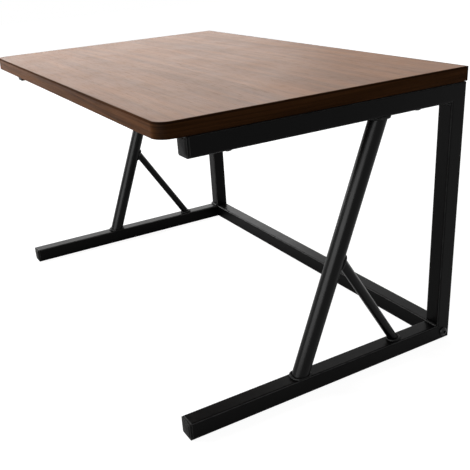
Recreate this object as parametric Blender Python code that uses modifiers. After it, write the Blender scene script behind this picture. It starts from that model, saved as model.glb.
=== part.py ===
"""Printer stand: a wood board on two welded side frames of square steel tube.

Metres, +Z up. The origin is at the bottom centre of the footprint. +X runs along the
board's length to the right-hand frame, and -Y is the front, where the tubes end in caps.
"""

import math

import bmesh
import bpy
from mathutils import Matrix, Vector

# Board: a laminated core with edge banding glued round it
BOARD_LENGTH = 0.572
BOARD_DEPTH = 0.356
BOARD_THICKNESS = 0.015
BOARD_CORNER_RADIUS = 0.015
BOARD_CORNER_STEPS = 8
BAND_THICKNESS = 0.0012
GLUE_LINE = 0.0003

# Square tube of the two side frames and of the cross rail
TUBE_SIZE = 0.020
TUBE_WALL = 0.0015
TUBE_CORNER_RADIUS = 0.0022
TUBE_CORNER_STEPS = 3
FRAME_HEIGHT = 0.309
FRAME_CORNER_ROUNDING = 0.003
ARM_SETBACK = 0.0253
JOINT_GAP = 0.0003

# Slanted round tube, and the thin round brace behind it
STRUT_DIAMETER = 0.019
STRUT_WALL = 0.0015
STRUT_TOP_FROM_REAR = 0.111
STRUT_FOOT_FROM_REAR = 0.2142
STRUT_SIDES = 40
BRACE_DIAMETER = 0.011
BRACE_JOINT_HEIGHT = 0.1513
BRACE_FOOT_FROM_REAR = 0.0803
BRACE_SIDES = 28

# Weld beads: rings at the ends of the round tubes, and fillets in the frame's inner corners
WELD_RING_RADIUS = 0.0022
WELD_RING_OFFSET = 0.0006
WELD_RING_OVERHANG = 0.0006
WELD_RING_POINTS = 30
WELD_RING_TURN_SHARE = 0.5
WELD_RING_RESOLUTION = 2
WELD_FILLET_RADIUS = 0.0034
WELD_FILLET_SIDES = 20

# Plastic caps in the open front ends of the square tubes
CAP_RIM_THICKNESS = 0.0014
CAP_PANEL_RISE = 0.0007
CAP_PANEL_MARGIN = 0.0027
CAP_PLUG_LENGTH = 0.012
CAP_PLUG_WALL = 0.0012
CAP_FIT = 0.0003

# Screws that hold the cross rail, and the nuts in its ends
FRAME_SCREW_DIAMETER = 0.006
FRAME_SCREW_REACH = 0.031
FRAME_SCREW_HEAD_DIAMETER = 0.0105
FRAME_SCREW_HEAD_HEIGHT = 0.0033
FRAME_SCREW_SOCKET_WIDTH = 0.004
FRAME_SCREW_SOCKET_DEPTH = 0.0022
END_NUT_THICKNESS = 0.008

# Screws that hold the board, and the inserts that they turn into
BOARD_SCREW_DIAMETER = 0.005
BOARD_SCREW_HEAD_DIAMETER = 0.0095
BOARD_SCREW_HEAD_HEIGHT = 0.0028
BOARD_SCREW_SOCKET_WIDTH = 0.003
BOARD_SCREW_SOCKET_DEPTH = 0.0016
BOARD_SCREW_BITE = 0.007
BOARD_SCREW_FROM_ARM_END = 0.045
BOARD_SCREW_FROM_REAR = 0.060
INSERT_DIAMETER = 0.0085
INSERT_LENGTH = 0.009
HARDWARE_CLEARANCE = 0.0003
SCREW_TIP_CHAMFER = 0.0007
SCREW_SIDES = 24
SCREW_DOME_STEPS = 4
HEXAGON_SIDES = 6

# How far a cutter runs past what it cuts
OVERRUN = 0.002
MERGE_DISTANCE = 0.00001

# Edges flatter than this are shaded smooth
SMOOTH_ANGLE = math.radians(35)

# Places worked out from the sizes above
HALF_LENGTH = BOARD_LENGTH / 2
FRONT_Y = -BOARD_DEPTH / 2
REAR_Y = BOARD_DEPTH / 2
TUBE_HALF = TUBE_SIZE / 2
TUBE_BORE = TUBE_SIZE - 2 * TUBE_WALL
TUBE_BORE_RADIUS = max(TUBE_CORNER_RADIUS - TUBE_WALL, TUBE_CORNER_RADIUS / 4)
FRAME_X = HALF_LENGTH - TUBE_HALF
ARM_UNDERSIDE = FRAME_HEIGHT - TUBE_SIZE
BOARD_UNDERSIDE = FRAME_HEIGHT + JOINT_GAP
REAR_TUBE_Y = REAR_Y - TUBE_HALF
CAP_DEPTH = CAP_RIM_THICKNESS + CAP_PANEL_RISE + JOINT_GAP
STRUT_TOP_Y = REAR_Y - STRUT_TOP_FROM_REAR
STRUT_FOOT_Y = REAR_Y - STRUT_FOOT_FROM_REAR
BRACE_FOOT_Y = REAR_Y - BRACE_FOOT_FROM_REAR
CROSS_RAIL_END = HALF_LENGTH - TUBE_SIZE - JOINT_GAP
BOARD_SCREW_FRONT_Y = FRONT_Y + ARM_SETBACK + BOARD_SCREW_FROM_ARM_END
BOARD_SCREW_REAR_Y = REAR_Y - BOARD_SCREW_FROM_REAR
SIDES = {"right": 1, "left": -1}

# Finishes: colour as red, green and blue, then roughness and metallic value
WALNUT = ((0.20, 0.11, 0.065), 0.45, 0.0)
BANDING = ((0.12, 0.065, 0.04), 0.45, 0.0)
POWDER_COAT = ((0.012, 0.012, 0.013), 0.42, 0.0)
CAP_PLASTIC = ((0.018, 0.018, 0.019), 0.38, 0.0)
BLACK_STEEL = ((0.02, 0.02, 0.021), 0.35, 0.6)
BRASS = ((0.60, 0.45, 0.20), 0.35, 1.0)


def clear_scene():
    """Removes what the opened file holds."""
    for obj in list(bpy.data.objects):
        bpy.data.objects.remove(obj, do_unlink=True)


def new_collection(name, hidden=False):
    """Adds a collection to the scene."""
    collection = bpy.data.collections.new(name)
    collection.hide_render = hidden
    bpy.context.scene.collection.children.link(collection)
    return collection


def new_material(name, finish):
    """Makes a Principled material from a colour, a roughness and a metallic value."""
    colour, roughness, metallic = finish
    made = bpy.data.materials.new(name)
    made.use_nodes = True
    made.diffuse_color = (*colour, 1)
    shader = made.node_tree.nodes["Principled BSDF"]
    shader.inputs["Base Color"].default_value = (*colour, 1)
    shader.inputs["Roughness"].default_value = roughness
    shader.inputs["Metallic"].default_value = metallic
    return made


def new_mesh(name, bm):
    """Turns a closed bmesh into a mesh whose faces point out."""
    bmesh.ops.recalc_face_normals(bm, faces=bm.faces)
    if bm.calc_volume(signed=True) < 0:
        bmesh.ops.reverse_faces(bm, faces=bm.faces)
    mesh = bpy.data.meshes.new(name)
    bm.to_mesh(mesh)
    bm.free()
    return mesh


def new_object(name, bm, finish):
    """Makes a named sub-part from a bmesh, with its own material."""
    mesh = new_mesh(name, bm)
    mesh.materials.append(new_material(name, finish))
    obj = bpy.data.objects.new(name, mesh)
    parts.objects.link(obj)
    return obj


def new_cutter(name, bm):
    """Makes a hidden object that others are cut by."""
    obj = bpy.data.objects.new(name, new_mesh(name, bm))
    obj.display_type = "WIRE"
    obj.hide_render = True
    cutters.objects.link(obj)
    return obj


def boolean(obj, other, operation="DIFFERENCE"):
    """Cuts or joins one object by another."""
    modifier = obj.modifiers.new(f"{operation.lower()} {other.name}", "BOOLEAN")
    modifier.operation = operation
    modifier.solver = "EXACT"
    modifier.object = other


def smooth(obj):
    """Shades the round faces of an object smooth and keeps its edges sharp."""
    obj.data.shade_smooth()
    obj.data.set_sharp_from_angle(angle=SMOOTH_ANGLE)


def box(low, high):
    """A box between two corners."""
    low, high = Vector(low), Vector(high)
    bm = bmesh.new()
    place = Matrix.Translation((low + high) / 2) @ Matrix.Diagonal((*(high - low), 1))
    bmesh.ops.create_cube(bm, size=1, matrix=place)
    return bm


def turned_to(direction, up="Y"):
    """The rotation that takes +Z to a direction."""
    return Vector(direction).to_track_quat("Z", up).to_matrix().to_4x4()


def midway(start, end):
    """The matrix that lays a shape drawn along Z between two points, with its sides level."""
    start, end = Vector(start), Vector(end)
    return Matrix.Translation((start + end) / 2) @ turned_to(end - start)


def distance(start, end):
    """The length between two points."""
    return (Vector(end) - Vector(start)).length


def rod(start, end, diameter, sides):
    """A closed cylinder between two points."""
    bm = bmesh.new()
    radius = diameter / 2
    bmesh.ops.create_cone(
        bm,
        cap_ends=True,
        segments=sides,
        radius1=radius,
        radius2=radius,
        depth=distance(start, end),
        matrix=midway(start, end),
    )
    return bm


def prism(outline, height, place):
    """A flat outline raised to a height, half on each side of its plane, and placed."""
    bm = bmesh.new()
    base = bm.faces.new([bm.verts.new((*point, -height / 2)) for point in outline])
    made = bmesh.ops.extrude_face_region(bm, geom=[base])["geom"]
    raised = [item for item in made if isinstance(item, bmesh.types.BMVert)]
    bmesh.ops.translate(bm, vec=(0, 0, height), verts=raised)
    bm.transform(place)
    return bm


def rounded_rectangle(left, front, right, rear, front_radius, rear_radius, steps):
    """The outline of a rectangle with its own radius at the front and the rear corners."""
    corners = (
        (right - rear_radius, rear - rear_radius, rear_radius),
        (left + rear_radius, rear - rear_radius, rear_radius),
        (left + front_radius, front + front_radius, front_radius),
        (right - front_radius, front + front_radius, front_radius),
    )
    outline = []
    for turn, (centre_x, centre_y, radius) in enumerate(corners):
        count = steps if radius > 0 else 0
        for step in range(count + 1):
            angle = math.pi / 2 * (turn + (step / count if count else 0))
            outline.append((centre_x + radius * math.cos(angle), centre_y + radius * math.sin(angle)))
    return outline


def square_bar(start, end, size, radius):
    """A bar of square section with rounded edges, between two points."""
    half = size / 2
    outline = rounded_rectangle(-half, -half, half, half, radius, radius, TUBE_CORNER_STEPS)
    return prism(outline, distance(start, end), midway(start, end))


def envelope(name, start, end):
    """A cutter round a square tube, larger than it by the joint gap."""
    size = TUBE_SIZE + 2 * JOINT_GAP
    return new_cutter(name, square_bar(start, end, size, TUBE_CORNER_RADIUS + JOINT_GAP))


def square_tube(name, start, end):
    """A hollow square tube between two points."""
    tube = new_object(name, square_bar(start, end, TUBE_SIZE, TUBE_CORNER_RADIUS), POWDER_COAT)
    past = (Vector(end) - Vector(start)).normalized() * OVERRUN
    bore = square_bar(Vector(start) - past, Vector(end) + past, TUBE_BORE, TUBE_BORE_RADIUS)
    boolean(tube, new_cutter(f"{name} bore", bore))
    return tube


def mitre_block(name, x, y, z, normal):
    """A block that takes away what lies past a mitre plane through a rear corner."""
    reach = 2 * TUBE_SIZE
    bm = box((-reach, -reach, -JOINT_GAP / 2), (reach, reach, reach))
    bm.transform(Matrix.Translation((x, y, z)) @ turned_to(normal, "X"))
    return new_cutter(name, bm)


def corner_rounding(name, z, inward):
    """A cutter that rounds the outer rear corner of both side frames.

    inward is 1 at the bottom corner and -1 at the top one.
    """
    radius = FRAME_CORNER_ROUNDING
    centre_y = REAR_Y - radius
    centre_z = z + inward * radius
    outline = []
    for step in range(TUBE_CORNER_STEPS + 1):
        angle = math.pi / 2 * step / TUBE_CORNER_STEPS
        outline.append((centre_y + radius * math.cos(angle), centre_z - inward * radius * math.sin(angle)))
    outside_z = z - inward * OVERRUN
    outline.append((centre_y - OVERRUN, outside_z))
    outline.append((REAR_Y + OVERRUN, outside_z))
    outline.append((REAR_Y + OVERRUN, centre_z + inward * OVERRUN))
    # the outline's first axis becomes Y and its second Z
    turn = Matrix(((0, 0, 1, 0), (1, 0, 0, 0), (0, 1, 0, 0), (0, 0, 0, 1)))
    return new_cutter(name, prism(outline, BOARD_LENGTH + 2 * OVERRUN, turn))


def drill(obj, name, start, end, diameter):
    """Drills a round hole between two points."""
    boolean(obj, new_cutter(name, rod(start, end, diameter, SCREW_SIDES)))


def socket_screw(name, place, diameter, reach, head_diameter, head_height, socket_width, socket_depth):
    """A button-head screw with a hexagon socket, turned about +Z with its head above the origin."""
    head_radius, radius = head_diameter / 2, diameter / 2
    points = []
    for step in range(SCREW_DOME_STEPS + 1):
        angle = math.pi / 2 * step / SCREW_DOME_STEPS
        points.append((head_radius * math.sin(angle), head_height * math.cos(angle)))
    points.append((radius, 0))
    points.append((radius, SCREW_TIP_CHAMFER - reach))
    points.append((radius - SCREW_TIP_CHAMFER, -reach))
    points.append((0, -reach))
    mesh = bpy.data.meshes.new(name)
    vertices = [(across, 0, height) for across, height in points]
    mesh.from_pydata(vertices, [(i, i + 1) for i in range(len(points) - 1)], [])
    mesh.materials.append(new_material(name, BLACK_STEEL))
    screw = bpy.data.objects.new(name, mesh)
    parts.objects.link(screw)
    screw.matrix_world = place
    turn = screw.modifiers.new("turn", "SCREW")
    turn.steps = SCREW_SIDES
    turn.render_steps = SCREW_SIDES
    turn.use_merge_vertices = True
    turn.merge_threshold = MERGE_DISTANCE
    width_across_corners = socket_width / math.cos(math.pi / HEXAGON_SIDES)
    low, high = (0, 0, head_height - socket_depth), (0, 0, head_height + OVERRUN)
    socket = rod(low, high, width_across_corners, HEXAGON_SIDES)
    socket.transform(place)
    boolean(screw, new_cutter(f"{name} socket", socket))
    return screw


def make_board():
    """The board's core, the band round its front and sides, and the band at its rear."""
    middle = Matrix.Translation((0, 0, BOARD_UNDERSIDE + BOARD_THICKNESS / 2))
    inset = BAND_THICKNESS + GLUE_LINE
    core_outline = rounded_rectangle(
        -HALF_LENGTH + inset,
        FRONT_Y + inset,
        HALF_LENGTH - inset,
        REAR_Y - inset,
        BOARD_CORNER_RADIUS - inset,
        0,
        BOARD_CORNER_STEPS,
    )
    core = new_object("board_core", prism(core_outline, BOARD_THICKNESS, middle), WALNUT)

    band_outline = rounded_rectangle(
        -HALF_LENGTH, FRONT_Y, HALF_LENGTH, REAR_Y - inset, BOARD_CORNER_RADIUS, 0, BOARD_CORNER_STEPS
    )
    band = new_object("edge_band_front_and_sides", prism(band_outline, BOARD_THICKNESS, middle), BANDING)
    bore_outline = rounded_rectangle(
        -HALF_LENGTH + BAND_THICKNESS,
        FRONT_Y + BAND_THICKNESS,
        HALF_LENGTH - BAND_THICKNESS,
        REAR_Y + OVERRUN,
        BOARD_CORNER_RADIUS - BAND_THICKNESS,
        0,
        BOARD_CORNER_STEPS,
    )
    through = BOARD_THICKNESS + 2 * OVERRUN
    boolean(band, new_cutter("edge band bore", prism(bore_outline, through, middle)))

    rear_low = (-HALF_LENGTH, REAR_Y - BAND_THICKNESS, BOARD_UNDERSIDE)
    rear_high = (HALF_LENGTH, REAR_Y, BOARD_UNDERSIDE + BOARD_THICKNESS)
    new_object("edge_band_rear", box(rear_low, rear_high), BANDING)
    return core


def make_frame_tubes(side, x):
    """The bottom rail, the rear upright and the top arm, mitred at the rear corners."""
    rail_start = (x, FRONT_Y + CAP_DEPTH, TUBE_HALF)
    rail_end = (x, REAR_Y, TUBE_HALF)
    arm_start = (x, FRONT_Y + ARM_SETBACK + CAP_DEPTH, FRAME_HEIGHT - TUBE_HALF)
    arm_end = (x, REAR_Y, FRAME_HEIGHT - TUBE_HALF)
    upright_start, upright_end = (x, REAR_TUBE_Y, 0), (x, REAR_TUBE_Y, FRAME_HEIGHT)
    rail = square_tube(f"{side}_bottom_rail", rail_start, rail_end)
    arm = square_tube(f"{side}_top_arm", arm_start, arm_end)
    upright = square_tube(f"{side}_rear_upright", upright_start, upright_end)

    up_and_back, down_and_front = (0, 1, 1), (0, -1, -1)
    down_and_back, up_and_front = (0, 1, -1), (0, -1, 1)
    boolean(rail, mitre_block(f"{side} rail mitre", x, REAR_Y, 0, up_and_back))
    boolean(upright, mitre_block(f"{side} upright foot mitre", x, REAR_Y, 0, down_and_front))
    boolean(arm, mitre_block(f"{side} arm mitre", x, REAR_Y, FRAME_HEIGHT, down_and_back))
    boolean(upright, mitre_block(f"{side} upright top mitre", x, REAR_Y, FRAME_HEIGHT, up_and_front))
    for tube in (rail, upright):
        boolean(tube, bottom_rounding)
    for tube in (arm, upright):
        boolean(tube, top_rounding)
    envelopes = {
        "rail": envelope(f"{side} rail envelope", rail_start, rail_end),
        "arm": envelope(f"{side} arm envelope", arm_start, arm_end),
        "upright": envelope(f"{side} upright envelope", upright_start, upright_end),
    }
    return rail, upright, arm, envelopes


def make_struts(side, x, envelopes):
    """The slanted round tube and the thin brace behind it, with the axes that they follow."""
    foot = Vector((x, STRUT_FOOT_Y, TUBE_SIZE))
    top = Vector((x, STRUT_TOP_Y, ARM_UNDERSIDE))
    into_tube = (top - foot).normalized() * TUBE_HALF
    strut = new_object(
        f"{side}_slanted_tube",
        rod(foot - into_tube, top + into_tube, STRUT_DIAMETER, STRUT_SIDES),
        POWDER_COAT,
    )
    bore_start, bore_end = foot - 2 * into_tube, top + 2 * into_tube
    bore = rod(bore_start, bore_end, STRUT_DIAMETER - 2 * STRUT_WALL, STRUT_SIDES)
    boolean(strut, new_cutter(f"{side} slanted tube bore", bore))
    boolean(strut, envelopes["rail"])
    boolean(strut, envelopes["arm"])
    smooth(strut)

    share = (BRACE_JOINT_HEIGHT - TUBE_SIZE) / (ARM_UNDERSIDE - TUBE_SIZE)
    joint = foot.lerp(top, share)
    brace_foot = Vector((x, BRACE_FOOT_Y, TUBE_SIZE))
    into_rail = (joint - brace_foot).normalized() * TUBE_HALF
    brace = new_object(
        f"{side}_brace_rod", rod(brace_foot - into_rail, joint, BRACE_DIAMETER, BRACE_SIDES), POWDER_COAT
    )
    strut_start, strut_end = foot - into_tube, top + into_tube
    strut_envelope = rod(strut_start, strut_end, STRUT_DIAMETER + 2 * JOINT_GAP, STRUT_SIDES)
    brace_envelope = rod(brace_foot - into_rail, joint, BRACE_DIAMETER + 2 * JOINT_GAP, BRACE_SIDES)
    envelopes["strut"] = new_cutter(f"{side} strut envelope", strut_envelope)
    envelopes["brace"] = new_cutter(f"{side} brace envelope", brace_envelope)
    boolean(brace, envelopes["strut"])
    boolean(brace, envelopes["rail"])
    smooth(brace)
    return (foot, top), (brace_foot, joint)


def points_round(start, end, radius):
    """A ring of points round an axis at its start, half a step off its sides, and its direction."""
    axis = (end - start).normalized()
    across = Vector((1, 0, 0))
    over = axis.cross(across)
    ring = []
    for step in range(WELD_RING_POINTS):
        angle = 2 * math.pi * (step + WELD_RING_TURN_SHARE) / WELD_RING_POINTS
        ring.append(start + radius * (math.cos(angle) * across + math.sin(angle) * over))
    return ring, axis


def ring_on_level(start, end, diameter, level):
    """The line where a round tube's surface, a little larger, crosses a level."""
    ring, axis = points_round(start, end, diameter / 2 + WELD_RING_OFFSET)
    return [point + axis * ((level - point.z) / axis.z) for point in ring]


def ring_on_strut(start, end, diameter, strut):
    """The line where a brace's surface, a little larger, meets the strut behind it."""
    ring, axis = points_round(start, end, diameter / 2 + WELD_RING_OFFSET)
    foot, top = strut
    along = (top - foot).normalized()
    reach = STRUT_DIAMETER / 2 + WELD_RING_OFFSET
    met = []
    for point in ring:
        offset = point - foot
        offset -= along * offset.dot(along)
        step = axis - along * axis.dot(along)
        half_b, c = offset.dot(step), offset.length_squared - reach * reach
        root = math.sqrt(half_b * half_b - step.length_squared * c)
        met.append(point + axis * ((-half_b - root) / step.length_squared))
    return met


def weld_ring(name, points, middle_x, cut_by):
    """A bead of weld along a closed line, trimmed to the tubes that it joins."""
    widest = TUBE_HALF - WELD_RING_RADIUS + WELD_RING_OVERHANG
    curve = bpy.data.curves.new(name, "CURVE")
    curve.dimensions = "3D"
    curve.bevel_depth = WELD_RING_RADIUS
    curve.bevel_resolution = WELD_RING_RESOLUTION
    spline = curve.splines.new("POLY")
    spline.points.add(len(points) - 1)
    spline.use_cyclic_u = True
    for point, place in zip(spline.points, points):
        inside = min(max(place.x - middle_x, -widest), widest)
        point.co = (middle_x + inside, place.y, place.z, 1)
    guide = bpy.data.objects.new(f"{name} line", curve)
    cutters.objects.link(guide)
    bpy.context.view_layer.update()
    mesh = bpy.data.meshes.new_from_object(guide.evaluated_get(bpy.context.evaluated_depsgraph_get()))
    bpy.data.objects.remove(guide, do_unlink=True)
    bm = bmesh.new()
    bm.from_mesh(mesh)
    bmesh.ops.remove_doubles(bm, verts=bm.verts, dist=MERGE_DISTANCE)
    bead = new_object(name, bm, POWDER_COAT)
    for envelope_cutter in cut_by:
        boolean(bead, envelope_cutter)
    smooth(bead)


def make_weld_rings(side, x, strut, brace, envelopes):
    """The beads at both ends of the slanted tube and of the brace."""
    over_rail, under_arm = TUBE_SIZE + WELD_RING_OFFSET, ARM_UNDERSIDE - WELD_RING_OFFSET
    strut_envelope, brace_envelope = envelopes["strut"], envelopes["brace"]
    rings = {
        "slanted_tube_foot": (
            ring_on_level(*strut, STRUT_DIAMETER, over_rail),
            (envelopes["rail"], strut_envelope),
        ),
        "slanted_tube_top": (
            ring_on_level(*strut, STRUT_DIAMETER, under_arm),
            (envelopes["arm"], strut_envelope),
        ),
        "brace_foot": (
            ring_on_level(*brace, BRACE_DIAMETER, over_rail),
            (envelopes["rail"], brace_envelope),
        ),
        "brace_top": (
            ring_on_strut(*brace, BRACE_DIAMETER, strut),
            (strut_envelope, brace_envelope),
        ),
    }
    for place, (points, cut_by) in rings.items():
        weld_ring(f"{side}_weld_{place}", points, x, cut_by)


def make_corner_welds(side, x, envelopes):
    """The fillets of weld in the two inner corners at the upright."""
    half = TUBE_HALF - TUBE_CORNER_RADIUS / 2
    y = REAR_Y - TUBE_SIZE
    for place, z, crossing in (("foot", TUBE_SIZE, "rail"), ("top", ARM_UNDERSIDE, "arm")):
        start, end = (x - half, y, z), (x + half, y, z)
        bm = rod(start, end, 2 * WELD_FILLET_RADIUS, WELD_FILLET_SIDES)
        bead = new_object(f"{side}_weld_upright_{place}", bm, POWDER_COAT)
        boolean(bead, envelopes["upright"])
        boolean(bead, envelopes[crossing])
        smooth(bead)


def make_cap(name, x, y, z):
    """A plastic cap: a plug in the tube, a rim over its end and a raised panel in front.

    y is the front of the panel.
    """
    rim_front = y + CAP_PANEL_RISE
    rim_back = rim_front + CAP_RIM_THICKNESS
    plug_end = rim_back + CAP_PLUG_LENGTH
    inside_rim = rim_front + CAP_RIM_THICKNESS / 2
    plug_size = TUBE_BORE - 2 * CAP_FIT
    panel_size = TUBE_SIZE - 2 * CAP_PANEL_MARGIN
    hollow_size = plug_size - 2 * CAP_PLUG_WALL
    cap = new_object(
        name, square_bar((x, rim_front, z), (x, rim_back, z), TUBE_SIZE, TUBE_CORNER_RADIUS), CAP_PLASTIC
    )
    plug = square_bar((x, inside_rim, z), (x, plug_end, z), plug_size, TUBE_BORE_RADIUS)
    panel = square_bar((x, y, z), (x, inside_rim, z), panel_size, TUBE_BORE_RADIUS)
    hollow = square_bar((x, rim_back, z), (x, plug_end + OVERRUN, z), hollow_size, TUBE_BORE_RADIUS)
    boolean(cap, new_cutter(f"{name} plug", plug), "UNION")
    boolean(cap, new_cutter(f"{name} panel", panel), "UNION")
    boolean(cap, new_cutter(f"{name} hollow", hollow))


def make_cross_rail():
    """The rear cross rail between the two frames."""
    level = (REAR_TUBE_Y, TUBE_HALF)
    square_tube("rear_cross_rail", (-CROSS_RAIL_END, *level), (CROSS_RAIL_END, *level))


def make_cross_joint(side, sign, rail, upright):
    """The nut in one end of the cross rail, and the screw that holds it through the frame."""
    level = (REAR_TUBE_Y, TUBE_HALF)
    hole = FRAME_SCREW_DIAMETER + 2 * HARDWARE_CLEARANCE
    outside = (sign * (HALF_LENGTH + OVERRUN), *level)
    inside = (sign * (CROSS_RAIL_END - END_NUT_THICKNESS - OVERRUN), *level)
    nut_start = (sign * (CROSS_RAIL_END - END_NUT_THICKNESS), *level)
    nut_end = (sign * CROSS_RAIL_END, *level)
    nut_size = TUBE_BORE - 2 * HARDWARE_CLEARANCE
    block = square_bar(nut_start, nut_end, nut_size, TUBE_BORE_RADIUS)
    nut = new_object(f"{side}_cross_rail_nut", block, BLACK_STEEL)
    bore = new_cutter(f"{side} frame screw hole", rod(inside, outside, hole, SCREW_SIDES))
    for obj in (nut, rail, upright):
        boolean(obj, bore)
    place = Matrix.Translation((sign * (HALF_LENGTH + HARDWARE_CLEARANCE), *level)) @ turned_to((sign, 0, 0))
    socket_screw(
        f"{side}_frame_screw",
        place,
        FRAME_SCREW_DIAMETER,
        FRAME_SCREW_REACH,
        FRAME_SCREW_HEAD_DIAMETER,
        FRAME_SCREW_HEAD_HEIGHT,
        FRAME_SCREW_SOCKET_WIDTH,
        FRAME_SCREW_SOCKET_DEPTH,
    )


def make_board_joint(name, x, y, core, arm):
    """An insert in the board's underside, and the screw that comes up through the arm."""
    hole = BOARD_SCREW_DIAMETER + 2 * HARDWARE_CLEARANCE
    seat = BOARD_UNDERSIDE + HARDWARE_CLEARANCE
    pocket = INSERT_DIAMETER + 2 * HARDWARE_CLEARANCE
    pocket_top = seat + INSERT_LENGTH + HARDWARE_CLEARANCE
    insert = new_object(
        f"{name}_insert", rod((x, y, seat), (x, y, seat + INSERT_LENGTH), INSERT_DIAMETER, SCREW_SIDES), BRASS
    )
    drill(core, f"{name} pocket", (x, y, BOARD_UNDERSIDE - OVERRUN), (x, y, pocket_top), pocket)
    below, above = ARM_UNDERSIDE - OVERRUN, pocket_top + OVERRUN
    bore = new_cutter(f"{name} hole", rod((x, y, below), (x, y, above), hole, SCREW_SIDES))
    boolean(insert, bore)
    boolean(arm, bore)
    head_seat = ARM_UNDERSIDE - HARDWARE_CLEARANCE
    place = Matrix.Translation((x, y, head_seat)) @ turned_to((0, 0, -1))
    socket_screw(
        f"{name}_screw",
        place,
        BOARD_SCREW_DIAMETER,
        seat + BOARD_SCREW_BITE - head_seat,
        BOARD_SCREW_HEAD_DIAMETER,
        BOARD_SCREW_HEAD_HEIGHT,
        BOARD_SCREW_SOCKET_WIDTH,
        BOARD_SCREW_SOCKET_DEPTH,
    )


clear_scene()
parts = new_collection("Printer stand")
cutters = new_collection("Cutters", hidden=True)
bottom_rounding = corner_rounding("bottom corner rounding", 0, 1)
top_rounding = corner_rounding("top corner rounding", FRAME_HEIGHT, -1)

board = make_board()
make_cross_rail()
for side_name, side_sign in SIDES.items():
    frame_x = side_sign * FRAME_X
    side_rail, side_upright, side_arm, side_envelopes = make_frame_tubes(side_name, frame_x)
    strut_axis, brace_axis = make_struts(side_name, frame_x, side_envelopes)
    make_weld_rings(side_name, frame_x, strut_axis, brace_axis, side_envelopes)
    make_corner_welds(side_name, frame_x, side_envelopes)
    make_cap(f"{side_name}_rail_cap", frame_x, FRONT_Y, TUBE_HALF)
    make_cap(f"{side_name}_arm_cap", frame_x, FRONT_Y + ARM_SETBACK, FRAME_HEIGHT - TUBE_HALF)
    make_cross_joint(side_name, side_sign, side_rail, side_upright)
    make_board_joint(f"{side_name}_front_board", frame_x, BOARD_SCREW_FRONT_Y, board, side_arm)
    make_board_joint(f"{side_name}_rear_board", frame_x, BOARD_SCREW_REAR_Y, board, side_arm)
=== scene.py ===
"""Looks of the printer stand: a walnut board on two welded frames of black square tube.

Everything is in metres in the CAD's own frame: +X along the board to the right-hand
frame, -Y to the front where the tubes end in caps, +Z up from the floor.
"""

import logging
import math
from dataclasses import dataclass, replace
from enum import Enum

import bmesh
import bpy
from mathutils import Matrix, Vector, noise


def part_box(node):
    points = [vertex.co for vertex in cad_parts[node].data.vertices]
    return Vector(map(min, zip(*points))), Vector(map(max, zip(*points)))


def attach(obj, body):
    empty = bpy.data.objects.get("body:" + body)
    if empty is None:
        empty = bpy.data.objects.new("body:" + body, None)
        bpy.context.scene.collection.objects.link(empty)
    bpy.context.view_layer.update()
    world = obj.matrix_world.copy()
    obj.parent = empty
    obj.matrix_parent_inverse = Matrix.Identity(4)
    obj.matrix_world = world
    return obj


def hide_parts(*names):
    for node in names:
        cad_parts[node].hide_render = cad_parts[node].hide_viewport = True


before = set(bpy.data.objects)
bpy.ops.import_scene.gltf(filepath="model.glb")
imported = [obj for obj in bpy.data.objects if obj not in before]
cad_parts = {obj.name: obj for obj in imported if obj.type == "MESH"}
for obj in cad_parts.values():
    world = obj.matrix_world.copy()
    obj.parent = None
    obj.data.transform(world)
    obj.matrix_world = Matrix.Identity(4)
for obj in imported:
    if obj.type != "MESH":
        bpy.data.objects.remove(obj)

log = logging.getLogger("printer_stand")

PHOTO_WIDTH = 470
SENSOR_WIDTH = 36.0
NEAR_CUT = "near_cut"
CLOUD_MIDDLE = 0.5
TUBE_CORNER = 0.0022
MERGE_DISTANCE = 0.00001
AHEAD = Vector((1, 0, 0))
BACK = Vector((0, 1, 0))
UP = Vector((0, 0, 1))

Colour = tuple[float, float, float]
Point = tuple[float, float, float]
Outline = list[tuple[float, float]]
Station = tuple[Vector, Vector]
Socket = bpy.types.NodeSocket
Sockets = bpy.types.bpy_prop_collection
Value = float | Socket
Paint = tuple | Socket
Mesh = bmesh.types.BMesh
Piece = bpy.types.Object


class Slot(Enum):
    """The record's material slots."""

    BOARD = "walnut_board"
    BANDING = "edge_banding"
    COAT = "powder_coat"
    CAP = "cap_plastic"
    STEEL = "black_steel"
    BRASS = "brass"


class Side(Enum):
    """The two side frames, as the CAD names them."""

    RIGHT = "right"
    LEFT = "left"

    @property
    def sign(self) -> int:
        """+1 for the frame at +X, -1 for the one at -X."""
        return 1 if self is Side.RIGHT else -1


class Look(Enum):
    """The finishes that the pieces wear, each one the finish of a slot."""

    BOARD = Slot.BOARD
    BANDING = Slot.BANDING
    SQUARE_TUBE = (Slot.COAT, "square tube")
    ROUND_TUBE = (Slot.COAT, "round tube")
    CAP = Slot.CAP
    STEEL = Slot.STEEL
    BRASS = Slot.BRASS

    @property
    def slot(self) -> Slot:
        """The record's slot that the finish belongs to."""
        return self.value[0] if isinstance(self.value, tuple) else self.value


class GrainPlace(Enum):
    """Where a wood finish takes its lengthwise direction from."""

    OBJECT = "Object"
    STRIP = "UV"


class Kind(Enum):
    """The kinds of value that go into a shader effect and come out of it."""

    NUMBER = "NodeSocketFloat"
    PLACE = "NodeSocketVector"
    COLOUR = "NodeSocketColor"


# ---- nodes


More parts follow.
